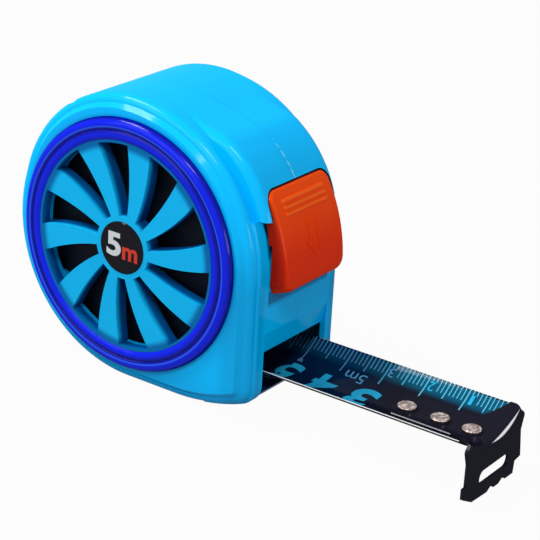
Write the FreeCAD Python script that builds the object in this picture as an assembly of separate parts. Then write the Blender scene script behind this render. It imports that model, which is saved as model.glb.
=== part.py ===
import FreeCAD, Part
import math
import os

# Pocket tape measure with a 25 mm steel blade, drawn 5 cm out of its case.
# Units are millimetres.  +X is the way the blade comes out, +Z is up and the
# blade wheel turns about a line along Y.  The origin is on the flat base, in the
# middle of the width and straight under the wheel's axis.

V = FreeCAD.Vector

# ---------------------------------------------------------------- sizes
# Fits
FIT = 0.05               # a part that slides or turns on another
SEAT = 0.2               # a part that is set into a recess
FREE = 0.3               # air between parts that pass each other
JOIN = 0.5               # how far joined shapes reach into each other

# Case body
CASE_R = 33.0            # round body, seen from the side: front and top
BASE_FLAT = 0.7          # how far the flat base cuts into the round body
CROWN_TIGHT = 2.7        # how much smaller the arc over the top of the back is
CROWN_SHIFT = 3.3        # its centre from the wheel axis
CROWN_DEG = 115.0
BACK_TIGHT = 1.0         # how much smaller the arc down the back is
BACK_SHIFT = 0.5         # its centre behind the wheel axis
BASE_R = 46.0            # slow rise of the base towards the front
BASE_FRONT_X = 13.0      # where that rise begins
FACE_Y = 17.5            # flat side faces, from the middle plane
RIM_Y = 16.5             # where the rounded rim ends and the bevel begins
RIM_ROUND = 1.8          # rounding of the rim
BEVEL_IN = 1.0           # how far the bevel draws in
CORNER_R = 4.0           # lower front corner
WALL = 2.2

# Raised panel down the front, with the mouth in it
PANEL_PROUD = 0.6
PANEL_Y = 14.8
PANEL_ROUND = 0.7
PANEL_TOP = 45.0

# Hood above the button
HOOD_Y = 13.0
HOOD_ROUND = 2.0
HOOD_SOFT = 8.0          # rounding of its crease
HOOD_START_DEG = 75.0    # where it leaves the round body
HOOD_CREASE_DEG = 52.3
HOOD_CREASE_RISE = 2.6   # over the round body
HOOD_CREST_DEG = 38.0
HOOD_CREST_RISE = 3.3
HOOD_PROUD = 0.3         # over the panel, at its lower edge

# Finger grooves across the back
GROOVE_DEG = (124.0, 148.0)
GROOVE_R = 4.0
GROOVE_DEPTH = 0.45

# Mouth
MOUTH_SIDE = 0.6         # from the blade's edges
MOUTH_TOP = 14.2
MOUTH_DEPTH = 9.3        # how far back the floor is cut away for the bumper
MOUTH_SET_IN = 1.3       # of the upper lip
MOUTH_SLOPE_H = 5.2      # height of the slope above the upper lip

# Round openings in the sides, with their covers and trim rings
RING_MARGIN = 4.2        # from the trim ring out to the round body
RING_W = 4.8
COVER_RIM = 0.6          # width of the cover's rim
RING_SEAT_Y = 16.6
COVER_SEAT_Y = 16.3
RING_CREST_Y = 19.3
RING_VALLEY_Y = 18.9
RING_VALLEY_IN = 2.2     # from the ring's inner edge to its valley
RING_SIDE_Y = 17.9       # height of the ring's outer edge
RING_CREST_DROP = 0.15   # of the outer ridge below the inner one

# Spoked cover on the left
SPOKES = 10
SPOKE_BACK_Y = 15.6
COVER_RIM_Y = 18.9
HUB_Y = 19.3
HUB_R = 7.2
SPOKE_MID_R = 16.0
SPOKE_LOW_DEG = (26.1, 32.8, 37.9)
SPOKE_HIGH_DEG = (44.8, 49.0, 52.9)
BADGE_R = 5.95
BADGE_SINK = 0.8
BADGE_PROUD = 0.25
PLATE_Y = 12.9           # inner face of the dark plate behind the spokes
PLATE_T = 0.6
PLATE_GAP = 0.6          # from the plate's edge to the case wall

# Plain cover and belt clip on the right
COVER_FACE_Y = 18.4
COVER_CHAMFER = 0.5
CLIP_BOSS_R = 8.5
CLIP_BOSS_FLARE = 1.0
CLIP_SEAT_Y = 19.4
CLIP_T = 1.0
CLIP_W = 14.0
CLIP_PAD_H = 15.0        # flat part round the screw
CLIP_GAP = 3.2           # from the cover's face to the leg
CLIP_LEG_TOP = 21.5
CLIP_LEG_FOOT = 6.0
CLIP_FLARE = 2.4
CLIP_SCREW_R = 1.5
CLIP_HEAD_R = 3.2
CLIP_HEAD_H = 1.8
CLIP_CROSS_W = 0.7       # of the cross recess
CLIP_SCREW_TIP_Y = 15.6

# Spindle and blade wheel
SPINDLE_R = 2.5
SPINDLE_LEFT_Y = 16.8
SPINDLE_RIGHT_Y = 15.0
SOCKET_R = 4.5
CORE_R = 12.4
CORE_T = 1.2
WHEEL_Y = 12.3
WEB_T = 1.0
COIL_R = 20.9
SPRING_R_IN = 3.2
SPRING_R_OUT = 10.8
SPRING_PITCH = 0.7
SPRING_T = 0.25
SPRING_GAP = 0.4         # from the spring's edges to the wheel's sides

# Case screws
SCREW_DEG = (-20.0, 60.0, 150.0, 215.0)
SCREW_BOSS_R = 2.3
SCREW_SHANK_R = 0.9
SCREW_HEAD_R = 1.7
SCREW_HEAD_H = 1.6
SCREW_SLOT_W = 0.5
SCREW_REACH = 11.0       # past the middle plane

# Blade: a cupped strip
BLADE_T = 0.18
BLADE_CHORD = 22.4
BLADE_SAG = 4.27
BLADE_MID_Z = 6.4        # top of the blade in the middle of its width
HOOK_IN_X = 84.1         # inner face of the hook's plate when it is pulled out
BLADE_BACK_IN = 2.1      # from the panel's front to the back of that strip
BLADE_END_GAP = 1.9      # from there to the end of the strip
STROKE = 48.3
RUN_BACK_X = 0.0
RUN_FRONT_IN = 1.2       # from the panel's front to the end of the fixed run
RUN_GAP = 0.45           # from the sliding blade down to the fixed run
RUNOUT_Y = 7.5           # half width of the hollow where the blade runs back

# Bumper under the mouth
BUMPER_PROUD = 0.4       # over the body, a little less than the panel
BUMPER_TOP = 5.2
BUMPER_TONGUE_L = 4.8
BUMPER_TONGUE_T = 1.1

# Hook and its rivets
HOOK_T = 0.8
HOOK_PLAY = 1.0
TONGUE_BACK_X = 60.0
TONGUE_Y = 5.3
TONGUE_ROUND = 2.5
FLARE_FROM = 6.9         # where the tongue starts to widen, behind the plate
FLARE_TO = 2.1
FLARE_IN = 0.6           # of the widened tongue, from the blade's edges
BEND_R = 1.7
SHOULDER_OUT = 0.8       # of the plate's shoulders, past the blade's edges
SHOULDER_Z = 9.0
SHOULDER_H = 1.3
WAIST_IN = 0.3           # of the plate below its shoulders, from the blade's edges
WAIST_Z = 5.6
PLATE_ROUND = 1.0        # of the shoulders and waist
PLATE_FOOT_Z = -4.15
EAR_OUT = 0.7
EAR_TOP_Z = 0.5
EAR_FOOT_Z = (-1.9, -1.0)    # left and right
EAR_SLOPE = 0.35
FOOT_SLOPE = 0.3
FOOT_LEFT_Y = 8.2        # where the slanted left corner meets the foot
FOOT_RIGHT_Y = 9.5
NOTCH_Y = (-0.4, 4.5)
NOTCH_HALF = 1.4
NOTCH_DEPTH = 0.8
NAIL_SLOT_Y = 0.45
NAIL_SLOT_Z = 0.4
NAIL_SLOT_HALF = 6.2
NAIL_SLOT_R = 1.6
RIVET_BACK = (21.0, 12.8, 5.1)   # behind the plate
RIVET_SHANK_R = 1.0
RIVET_HEAD_R = 2.15
RIVET_HEAD_H = 0.95
RIVET_CROWN = 0.35
RIVET_FOOT_R = 1.8
RIVET_FOOT_H = 0.15

# Lock button
BUTTON_Y = 11.2
BUTTON_TOP = 18.6        # above the wheel axis
BUTTON_FOOT = -4.4       # at the panel
BUTTON_FOOT_RISE = 0.42  # slope of its lower side, from the panel to the face
BUTTON_CORNER = 2.8
BUTTON_ROUND = 1.3
BUTTON_FACE_R = 36.1
BUTTON_PROUD = 4.35      # greatest reach of the curved face over the panel
BUTTON_FACE_Z = -1.95    # where that is
LOCK_TRAVEL = 3.0
POCKET_FOOT = 4.0
RIB_Z = (13.6, 14.9, 16.2)
RIB_Y = 7.2
RIB_H = 0.6
RIB_RAISED = 0.3
ARROW_RAISED = 0.16
ARROW_TOP = 12.2
ARROW_NECK = 6.6
ARROW_TIP = 3.4
ARROW_SHAFT_Y = 1.7
ARROW_HEAD_Y = 3.1
ARROW_LINE = 0.5
STEM_Y = 3.5
STEM_FOOT = 3.0
STEM_TOP = 9.0
STEM_REACH = 1.5         # into the button, past the panel's front
SLIDER_IN = 2.6          # from the front wall back to the slider
SLIDER_T = 1.2
SLIDER_Y = 6.0
SLIDER_FOOT = 1.0
SLIDER_TOP = 10.8
ROD_AHEAD = 0.3          # middle of the rod, ahead of the slider's front
ROD_HALF = 1.0
ROD_Y = 2.5
ROD_GAP = 0.5            # from the rod's foot to the brake lever

# Brake: a fork that presses on both flanks of the blade, beside the hook's tongue
BRAKE_DEG = 20.2         # its full swing
PIN_IN = 13.0            # from the round body's front back to the pin
PIN_Z = 15.8
PIN_R = 1.0
PIN_HALF = 15.2
PIN_BOSS_R = 2.2
PIN_BOSS_Y = 13.7
LEVER_Y = 5.0
LEVER_BOSS_R = 2.3
LEVER_TOP = 2.7          # over the pin
LEVER_TIP = 9.7          # ahead of the pin
LEVER_T = 2.6
LEVER_FOOT_H = 2.0
PAD_IN = (2.7, 0.6)      # inner and outer side of each pad, from the blade's edges
PAD_L = 2.0
PAD_GAP = 0.1            # to the blade at the end of the swing

# ---------------------------------------------------------------- worked out
INNER_Y = FACE_Y - WALL
BLADE_Y = BLADE_CHORD / 2
MOUTH_Y = BLADE_Y + MOUTH_SIDE
FLARE_Y = BLADE_Y - FLARE_IN
PAD_Y = (BLADE_Y - PAD_IN[0], BLADE_Y - PAD_IN[1])
AXIS_Z = CASE_R - BASE_FLAT
CROWN_R = CASE_R - CROWN_TIGHT
BACK_R = CASE_R - BACK_TIGHT
PANEL_X = CASE_R + PANEL_PROUD
BUTTON_FACE_X = PANEL_X + BUTTON_PROUD - BUTTON_FACE_R
MOUTH_BACK = PANEL_X - MOUTH_DEPTH
RING_R = CASE_R - RING_MARGIN
COVER_R = RING_R - RING_W
RING_VALLEY_R = COVER_R + RING_VALLEY_IN
OPENING_R = COVER_R - COVER_RIM
SPOKE_R = (HUB_R, SPOKE_MID_R, 0.5 * (OPENING_R + COVER_R))
SCREW_RING_R = 0.5 * (COVER_R + RING_R)
BLADE_BACK_X = PANEL_X - BLADE_BACK_IN
RUN_FRONT_X = PANEL_X - RUN_FRONT_IN
SLIDER_FRONT_X = CASE_R - WALL - SLIDER_IN
ROD_X = SLIDER_FRONT_X + ROD_AHEAD
PIN_X = CASE_R - PIN_IN
CUP_R = (BLADE_Y ** 2 + BLADE_SAG ** 2) / (2 * BLADE_SAG)
CUP_Z = BLADE_MID_Z + CUP_R
CUP_DEG = math.degrees(math.asin(BLADE_Y / CUP_R))
HOOK_OUT_X = HOOK_IN_X + HOOK_T
TONGUE_TOP_R = CUP_R - FIT - HOOK_T
BLADE_END_X = HOOK_IN_X - BLADE_END_GAP


# ---------------------------------------------------------------- helpers
def write(name, shape):
    """Keep one piece as one STEP file."""
    shape.exportStep("parts/" + name + ".step")


def box(x, y, z):
    """A box between pairs of limits."""
    corner = V(x[0], y[0], z[0])
    return Part.makeBox(x[1] - x[0], y[1] - y[0], z[1] - z[0], corner)


def disc(r, y, x=0.0, z=AXIS_Z):
    """A cylinder along Y, between two values of Y."""
    return Part.makeCylinder(r, y[1] - y[0], V(x, y[0], z), V(0, 1, 0))


def tube(r_in, r_out, y, x=0.0, z=AXIS_Z):
    """A hollow cylinder along Y."""
    return disc(r_out, y, x, z).cut(disc(r_in, (y[0] - 1, y[1] + 1), x, z))


def polar(r, degrees, y=0.0):
    """A point round the wheel axis, angles from +X towards +Z."""
    a = math.radians(degrees)
    return V(r * math.cos(a), y, AXIS_Z + r * math.sin(a))


def prism(points, along):
    """A straight-sided prism from a closed run of points."""
    wire = Part.makePolygon(points + [points[0]])
    return Part.Face(wire).extrude(along)


def prism_y(points, half):
    """A prism along Y from (x, z) points, as wide on both sides."""
    return prism([V(x, -half, z) for x, z in points], V(0, 2 * half, 0))


def mirror_y(shape):
    """The same shape on the other side of the middle plane."""
    return shape.mirror(V(0, 0, 0), V(0, 1, 0))


def turned(points):
    """A solid of revolution about the wheel axis from (radius, y) points."""
    wire = Part.makePolygon([V(r, y, AXIS_Z) for r, y in points + [points[0]]])
    return Part.Face(wire).revolve(V(0, 0, AXIS_Z), V(0, 1, 0), 360)


def one_solid(shape):
    """Merge split faces and return the single solid of a cut or fused shape."""
    clean = shape.removeSplitter()
    return clean.Solids[0] if len(clean.Solids) == 1 else clean


# ---------------------------------------------------------------- case
def direction(x, z):
    """The angle of a direction in degrees, from +X towards +Z."""
    return math.degrees(math.atan2(z, x)) % 360


def outline(offset, y):
    """The side outline of the case, moved outwards by offset, as a wire.

    It is a run of arcs, each tangent to the straight piece that joins it to the next.
    """
    crown = polar(CROWN_SHIFT, CROWN_DEG)
    front_to_crown = CROWN_DEG - math.degrees(math.acos((CASE_R - CROWN_R) / CROWN_SHIFT))
    dx = -BACK_SHIFT - crown.x
    dz = BACK_R - crown.z
    lean = math.degrees(math.acos((CROWN_R - BACK_R) / math.hypot(dx, dz)))
    crown_to_back = (direction(dx, dz) - lean) % 360
    corner_x = CASE_R - CORNER_R
    rise = math.asin((corner_x - BASE_FRONT_X) / (BASE_R - CORNER_R))
    corner_z = BASE_R - (BASE_R - CORNER_R) * math.cos(rise)
    base_end = 270 + math.degrees(rise)
    arcs = [
        (0, AXIS_Z, CASE_R, 0, front_to_crown),
        (crown.x, crown.z, CROWN_R, front_to_crown, crown_to_back),
        (-BACK_SHIFT, BACK_R, BACK_R, crown_to_back, 270),
        (BASE_FRONT_X, BASE_R, BASE_R, 270, base_end),
        (corner_x, corner_z, CORNER_R, base_end, 360),
    ]
    edges = []
    first = V(CASE_R + offset, y, AXIS_Z)
    last = first
    for x, z, radius, start, end in arcs:
        r = radius + offset
        at = []
        for degrees in (start, (start + end) / 2, end):
            a = math.radians(degrees)
            at.append(V(x + r * math.cos(a), y, z + r * math.sin(a)))
        if last.distanceToPoint(at[0]) > 0.001:
            edges.append(Part.LineSegment(last, at[0]).toShape())
        edges.append(Part.Arc(at[0], at[1], at[2]).toShape())
        last = at[2]
    edges.append(Part.LineSegment(last, first).toShape())
    return Part.Wire(edges)


def slab(offset, half):
    """The case outline as a slab, as wide on both sides."""
    return Part.Face(outline(offset, -half)).extrude(V(0, 2 * half, 0))


def case_body():
    """The round body with its rounded rims and bevelled side faces."""
    body = slab(0.0, RIM_Y)
    rims = []
    for edge in body.Edges:
        limits = edge.BoundBox
        if limits.YLength < 0.01 and abs(abs(limits.YMin) - RIM_Y) < 0.01:
            rims.append(edge)
    body = body.makeFillet(RIM_ROUND, rims)
    rim = outline(-RIM_ROUND, RIM_Y)
    face = outline(-RIM_ROUND - BEVEL_IN, FACE_Y)
    bevel = Part.makeLoft([rim, face], True, True)
    return body.fuse(bevel).fuse(mirror_y(bevel))


def front_panel():
    """The raised panel, rounded along its two long edges."""
    wide = slab(PANEL_PROUD, PANEL_Y)
    front = [e for e in wide.Edges if e.BoundBox.YLength < 0.01]
    wide = wide.makeFillet(PANEL_ROUND, front)
    start = BASE_FRONT_X + math.sqrt((BASE_R + PANEL_PROUD) ** 2 - BASE_R ** 2)
    return wide.common(box((start, 2 * CASE_R), (-FACE_Y, FACE_Y), (0, PANEL_TOP)))


def hood():
    """The bulge above the button, with soft side edges."""
    y = -HOOD_Y
    start = polar(CASE_R, HOOD_START_DEG, y)
    crease = polar(CASE_R + HOOD_CREASE_RISE, HOOD_CREASE_DEG, y)
    crest = polar(CASE_R + HOOD_CREST_RISE, HOOD_CREST_DEG, y)
    foot = V(PANEL_X + HOOD_PROUD, y, PANEL_TOP)
    inside = V(start.x, y, PANEL_TOP)
    edges = [
        Part.LineSegment(start, crease).toShape(),
        Part.Arc(crease, crest, foot).toShape(),
        Part.LineSegment(foot, inside).toShape(),
        Part.LineSegment(inside, start).toShape(),
    ]
    bulge = Part.Face(Part.Wire(edges)).extrude(V(0, 2 * HOOD_Y, 0))
    across = [e for e in bulge.Edges if e.CenterOfMass.distanceToPoint(V(crease.x, 0, crease.z)) < 0.01]
    bulge = bulge.makeFillet(HOOD_SOFT, across)
    soft = []
    for edge in bulge.Edges:
        middle = edge.valueAt((edge.FirstParameter + edge.LastParameter) / 2)
        flat = edge.BoundBox.YLength < 0.01
        reach = math.hypot(middle.x, middle.z - AXIS_Z)
        if flat and reach > CASE_R + HOOD_PROUD and middle.z > PANEL_TOP + HOOD_PROUD:
            soft.append(edge)
    return bulge.makeFillet(HOOD_ROUND, soft)


def rounded_plate_x(half_y, z, radius, x):
    """A prism along X whose outline in Y and Z has four round corners."""
    block = box(x, (-half_y, half_y), z)
    long_edges = [e for e in block.Edges if e.BoundBox.XLength > 0.5 * (x[1] - x[0])]
    return block.makeFillet(radius, long_edges)


def button_pocket():
    """The hollow that the button's upper half slides in."""
    half = BUTTON_Y + FREE
    corner = BUTTON_CORNER + FREE
    low = AXIS_Z + POCKET_FOOT
    x = (0.5 * CASE_R, 2 * CASE_R)
    hollow = rounded_plate_x(half, (low, AXIS_Z + BUTTON_TOP + FREE), corner, x)
    square_foot = box(x, (-half, half), (low, low + 2 * corner))
    return hollow.fuse(square_foot).cut(disc(CASE_R, (-FACE_Y, FACE_Y)))


def stem_slot():
    """The slot in the front wall for the button's stem, over its travel."""
    low = AXIS_Z + STEM_FOOT - LOCK_TRAVEL - FREE
    high = AXIS_Z + STEM_TOP + FREE
    half = STEM_Y + FREE
    return box((SLIDER_FRONT_X, PANEL_X + 1), (-half, half), (low, high))


def mouth():
    """The opening for the blade, with the sloping lip above it."""
    reach = PANEL_X + 1
    lip_x = PANEL_X - MOUTH_SET_IN
    slot = box((MOUTH_BACK, reach), (-MOUTH_Y, MOUTH_Y), (-1, MOUTH_TOP))
    rise = MOUTH_SLOPE_H * (reach - lip_x) / MOUTH_SET_IN
    slope = prism_y([(lip_x, MOUTH_TOP), (reach, MOUTH_TOP), (reach, MOUTH_TOP + rise)], MOUTH_Y)
    return slot.fuse(slope)


def side_openings():
    """The round openings, with seats for the covers and trim rings."""
    through = disc(OPENING_R, (-2 * FACE_Y, 2 * FACE_Y))
    cover = disc(COVER_R + SEAT, (COVER_SEAT_Y, 2 * FACE_Y))
    ring = disc(RING_R + FIT, (RING_SEAT_Y, 2 * FACE_Y))
    return through.fuse([cover, ring, mirror_y(cover), mirror_y(ring)])


def finger_groove(degrees):
    """One shallow groove across the back."""
    centre = polar(CROWN_SHIFT, CROWN_DEG)
    reach = CROWN_R - GROOVE_DEPTH + GROOVE_R
    a = math.radians(degrees)
    return disc(GROOVE_R, (-2 * FACE_Y, 2 * FACE_Y), centre.x + reach * math.cos(a), centre.z + reach * math.sin(a))


def runout_hollow():
    """Room in the back wall for the blade's end when it is drawn in."""
    back = BLADE_BACK_X - STROKE
    reach = math.hypot(back, AXIS_Z - BLADE_MID_Z + BLADE_T) + FREE
    zone = box((back - 2 * WALL, back + 4 * WALL), (-RUNOUT_Y, RUNOUT_Y), (0, BLADE_MID_Z + 2 * WALL))
    return disc(reach, (-RUNOUT_Y, RUNOUT_Y)).common(zone)


def screw_place(degrees):
    """Where a case screw stands, as x and z."""
    p = polar(SCREW_RING_R, degrees)
    return p.x, p.z


def case_shell():
    """Both halves of the case in one, before they are parted."""
    outer = case_body().fuse(front_panel()).fuse(hood())
    shell = outer.cut(slab(-WALL, INNER_Y))
    bosses = []
    for degrees in SCREW_DEG:
        x, z = screw_place(degrees)
        bosses.append(disc(SCREW_BOSS_R, (-INNER_Y - JOIN, INNER_Y + JOIN), x, z))
    pin_boss = disc(PIN_BOSS_R, (PIN_BOSS_Y, INNER_Y + JOIN), PIN_X, PIN_Z)
    shell = shell.fuse(bosses + [pin_boss, mirror_y(pin_boss)])
    cuts = [mouth(), side_openings(), runout_hollow(), stem_slot(), button_pocket()]
    cuts += [finger_groove(degrees) for degrees in GROOVE_DEG]
    cuts.append(disc(PIN_R + FIT, (-PIN_HALF, PIN_HALF), PIN_X, PIN_Z))
    head_floor = RING_SEAT_Y - SCREW_HEAD_H - FIT
    for degrees in SCREW_DEG:
        x, z = screw_place(degrees)
        cuts.append(disc(SCREW_SHANK_R + FIT, (-SCREW_REACH - 1, RING_SEAT_Y + 1), x, z))
        cuts.append(disc(SCREW_HEAD_R + FIT, (head_floor, RING_SEAT_Y + 1), x, z))
    return shell.cut(cuts)


def case_half(shell, side):
    """One half of the case: side -1 is the left, +1 the right."""
    reach = 3 * CASE_R
    limits = (-reach, 0) if side < 0 else (0, reach)
    return one_solid(shell.common(box((-reach, reach), limits, (-reach, reach))))


# ---------------------------------------------------------------- sides
def ring_trim():
    """The right-hand trim ring: two rounded ridges with a valley between."""
    r_in = COVER_R + FIT
    points = [(r_in, RING_SEAT_Y), (r_in, RING_VALLEY_Y), (0.5 * (r_in + RING_VALLEY_R), RING_CREST_Y),
              (RING_VALLEY_R, RING_VALLEY_Y), (0.5 * (RING_VALLEY_R + RING_R), RING_CREST_Y - RING_CREST_DROP),
              (RING_R, RING_SIDE_Y), (RING_R, RING_SEAT_Y)]
    at = [V(r, y, AXIS_Z) for r, y in points]
    edges = [
        Part.LineSegment(at[0], at[1]).toShape(),
        Part.Arc(at[1], at[2], at[3]).toShape(),
        Part.Arc(at[3], at[4], at[5]).toShape(),
        Part.LineSegment(at[5], at[6]).toShape(),
        Part.LineSegment(at[6], at[0]).toShape(),
    ]
    return Part.Face(Part.Wire(edges)).revolve(V(0, 0, AXIS_Z), V(0, 1, 0), 360)


def spoke(turn):
    """One swept spoke, wider at the rim than at the hub."""
    y = -2 * HUB_Y
    low = [polar(r, d + turn, y) for r, d in zip(SPOKE_R, SPOKE_LOW_DEG)]
    high = [polar(r, d + turn, y) for r, d in zip(SPOKE_R, SPOKE_HIGH_DEG)]
    edges = [
        Part.Arc(low[0], low[1], low[2]).toShape(),
        Part.LineSegment(low[2], high[2]).toShape(),
        Part.Arc(high[2], high[1], high[0]).toShape(),
        Part.LineSegment(high[0], low[0]).toShape(),
    ]
    return Part.Face(Part.Wire(edges)).extrude(V(0, -y, 0))


def wheel_cover():
    """The spoked cover on the left, with the socket for the spindle."""
    spokes = [spoke(n * 360.0 / SPOKES) for n in range(SPOKES)]
    flat = spokes[0].fuse(spokes[1:])
    dome = turned([(0, -SPOKE_BACK_Y), (OPENING_R - FIT, -SPOKE_BACK_Y), (OPENING_R - FIT, -COVER_SEAT_Y),
                   (COVER_R, -COVER_SEAT_Y), (COVER_R, -COVER_RIM_Y), (HUB_R, -HUB_Y), (0, -HUB_Y)])
    rim = tube(OPENING_R, COVER_R, (-2 * HUB_Y, -COVER_SEAT_Y))
    hub = disc(HUB_R, (-2 * HUB_Y, -SPOKE_BACK_Y))
    cover = flat.fuse([rim, hub]).common(dome)
    socket = disc(SOCKET_R, (-SPOKE_BACK_Y - JOIN, -PLATE_Y - PLATE_T))
    cover = cover.fuse(socket)
    cover = cover.cut(disc(BADGE_R + FIT, (-HUB_Y, -HUB_Y + BADGE_SINK)))
    cover = cover.cut(disc(SPINDLE_R, (-SPINDLE_LEFT_Y, 0)))
    return one_solid(cover)


def hub_badge():
    """The round badge set into the hub, with a bevelled edge."""
    back = -HUB_Y + BADGE_SINK
    front = -HUB_Y - BADGE_PROUD
    bevel = BADGE_PROUD
    return turned([(0, back), (BADGE_R, back), (BADGE_R, front + bevel), (BADGE_R - bevel, front), (0, front)])


def inner_plate():
    """The dark plate behind the spokes, pierced for what passes through it."""
    y = (-PLATE_Y - PLATE_T, -PLATE_Y)
    plate = Part.Face(outline(-WALL - PLATE_GAP, y[0])).extrude(V(0, PLATE_T, 0))
    holes = [disc(SPINDLE_R, (y[0] - 1, y[1] + 1))]
    holes.append(disc(PIN_R + FREE, (y[0] - 1, y[1] + 1), PIN_X, PIN_Z))
    for degrees in SCREW_DEG:
        x, z = screw_place(degrees)
        holes.append(disc(SCREW_BOSS_R + FREE, (y[0] - 1, y[1] + 1), x, z))
    return one_solid(plate.cut(holes))


def cover_right():
    """The plain cover on the right, with the boss for the belt clip."""
    cover = turned([(0, COVER_SEAT_Y), (COVER_R, COVER_SEAT_Y), (COVER_R, COVER_FACE_Y - COVER_CHAMFER),
                    (COVER_R - COVER_CHAMFER, COVER_FACE_Y), (CLIP_BOSS_R + CLIP_BOSS_FLARE, COVER_FACE_Y),
                    (CLIP_BOSS_R, CLIP_SEAT_Y), (0, CLIP_SEAT_Y)])
    socket = disc(SOCKET_R, (PLATE_Y + PLATE_T, COVER_SEAT_Y + JOIN))
    cover = cover.fuse(socket)
    cover = cover.cut(disc(SPINDLE_R, (0, SPINDLE_RIGHT_Y)))
    cover = cover.cut(disc(CLIP_SCREW_R, (CLIP_SCREW_TIP_Y, CLIP_SEAT_Y + 1)))
    return one_solid(cover)


def belt_clip():
    """A spring-steel strip, stepped out to clear a belt and flared at its end."""
    leg_y = COVER_FACE_Y + CLIP_GAP
    top = AXIS_Z + CLIP_PAD_H / 2
    low = AXIS_Z - CLIP_PAD_H / 2
    inner = [(CLIP_SEAT_Y, top), (CLIP_SEAT_Y, low), (leg_y, CLIP_LEG_TOP), (leg_y, CLIP_LEG_FOOT),
             (leg_y + CLIP_FLARE, CLIP_LEG_FOOT - CLIP_FLARE)]
    outer = [(y + CLIP_T, z) for y, z in inner]
    ends = [V(-CLIP_W / 2, y, z) for y, z in inner + outer[::-1]]
    strip = prism(ends, V(CLIP_W, 0, 0))
    bends = [e for e in strip.Edges if e.BoundBox.XLength > 0.5 * CLIP_W]
    foot = [e for e in bends if low - 1 < e.BoundBox.ZMin < low + 1 or abs(e.BoundBox.ZMin - CLIP_LEG_TOP) < 1]
    strip = strip.makeFillet(0.4 * CLIP_T, foot)
    return one_solid(strip.cut(disc(CLIP_SCREW_R + FIT, (CLIP_SEAT_Y - 1, CLIP_SEAT_Y + CLIP_T + 1))))


def belt_clip_screw():
    """A pan-head screw with a cross recess, through the clip into the cover."""
    under = CLIP_SEAT_Y + CLIP_T
    head = disc(CLIP_HEAD_R, (under, under + CLIP_HEAD_H))
    crown = [e for e in head.Edges if abs(e.BoundBox.YMin - under - CLIP_HEAD_H) < 0.01]
    head = head.makeFillet(0.4 * CLIP_HEAD_H, crown)
    shank = disc(CLIP_SCREW_R, (CLIP_SCREW_TIP_Y, under + JOIN))
    arm = 0.6 * CLIP_HEAD_R
    depth = (under + 0.5 * CLIP_HEAD_H, under + 2 * CLIP_HEAD_H)
    slot = box((-arm, arm), depth, (AXIS_Z - CLIP_CROSS_W / 2, AXIS_Z + CLIP_CROSS_W / 2))
    across = box((-CLIP_CROSS_W / 2, CLIP_CROSS_W / 2), depth, (AXIS_Z - arm, AXIS_Z + arm))
    return one_solid(head.fuse(shank).cut([slot, across]))


# ---------------------------------------------------------------- blade wheel
def spindle():
    """The fixed shaft that the blade wheel turns on."""
    return disc(SPINDLE_R, (-SPINDLE_LEFT_Y, SPINDLE_RIGHT_Y))


def drum():
    """The blade wheel: a rim with one web that runs on the spindle."""
    core = tube(CORE_R - CORE_T, CORE_R, (-WHEEL_Y, WHEEL_Y))
    web = tube(SPINDLE_R + FIT, CORE_R - 0.5 * CORE_T, (WHEEL_Y - WEB_T, WHEEL_Y))
    return one_solid(core.fuse(web))


def drum_cap():
    """The lid that keeps the mainspring in the blade wheel."""
    return tube(SPINDLE_R + FIT, CORE_R - CORE_T - FIT, (-WHEEL_Y, -WHEEL_Y + WEB_T))


def mainspring():
    """The coiled return spring, as a spiral of half turns."""
    y = -(WHEEL_Y - WEB_T - SPRING_GAP)
    step = SPRING_PITCH / 2
    half_turns = int((SPRING_R_OUT - SPRING_R_IN) / step)

    def half_turn(n, shift):
        """The arc of half turn n, moved outwards by shift."""
        side = 1 if n % 2 == 0 else -1
        r = SPRING_R_IN + n * step + shift
        centre = 0 if n % 2 == 0 else step
        start = V(centre + side * r, y, AXIS_Z)
        middle = V(centre, y, AXIS_Z + side * r)
        end = V(centre - side * r, y, AXIS_Z)
        return start, middle, end

    outer = [half_turn(n, SPRING_T) for n in range(half_turns)]
    inner = [half_turn(n, 0.0) for n in range(half_turns)]
    edges = [Part.Arc(a, b, c).toShape() for a, b, c in outer + inner]
    edges.append(Part.LineSegment(inner[0][0], outer[0][0]).toShape())
    edges.append(Part.LineSegment(inner[-1][2], outer[-1][2]).toShape())
    wire = Part.Wire(Part.__sortEdges__(edges))
    return Part.Face(wire).extrude(V(0, -2 * y, 0))


def wound_blade():
    """The turns of blade on the wheel, as one ring."""
    return tube(CORE_R, COIL_R, (-WHEEL_Y, WHEEL_Y))


# ---------------------------------------------------------------- blade and hook
def cup(r_in, r_out, degrees, x):
    """A cupped sheet: a sector of a tube along X, open upwards."""
    length = x[1] - x[0]
    outer = Part.makeCylinder(r_out, length, V(x[0], 0, CUP_Z), V(1, 0, 0))
    inner = Part.makeCylinder(r_in, length + 2, V(x[0] - 1, 0, CUP_Z), V(1, 0, 0))
    reach = 2 * r_out
    side = reach * math.tan(math.radians(degrees))
    wedge = prism([V(x[0] - 1, 0, CUP_Z), V(x[0] - 1, side, CUP_Z - reach),
                   V(x[0] - 1, -side, CUP_Z - reach)], V(length + 2, 0, 0))
    return outer.cut(inner).common(wedge)


def rivet_places():
    """Where the rivets stand along the blade."""
    return [HOOK_IN_X - back for back in RIVET_BACK]


def upright(r, x, z):
    """A cylinder along Z on the blade's middle line."""
    return Part.makeCylinder(r, z[1] - z[0], V(x, 0, z[0]), V(0, 0, 1))


def blade():
    """The stretch of blade that is out, with its rivet holes."""
    strip = cup(CUP_R, CUP_R + BLADE_T, CUP_DEG, (BLADE_BACK_X, BLADE_END_X))
    holes = [upright(RIVET_SHANK_R, x, (0, AXIS_Z)) for x in rivet_places()]
    return one_solid(strip.cut(holes))


def blade_inner_run():
    """The stretch of blade between the wheel and the mouth."""
    top = CUP_R + BLADE_T + RUN_GAP
    return cup(top, top + BLADE_T, CUP_DEG, (RUN_BACK_X, RUN_FRONT_X))


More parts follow.
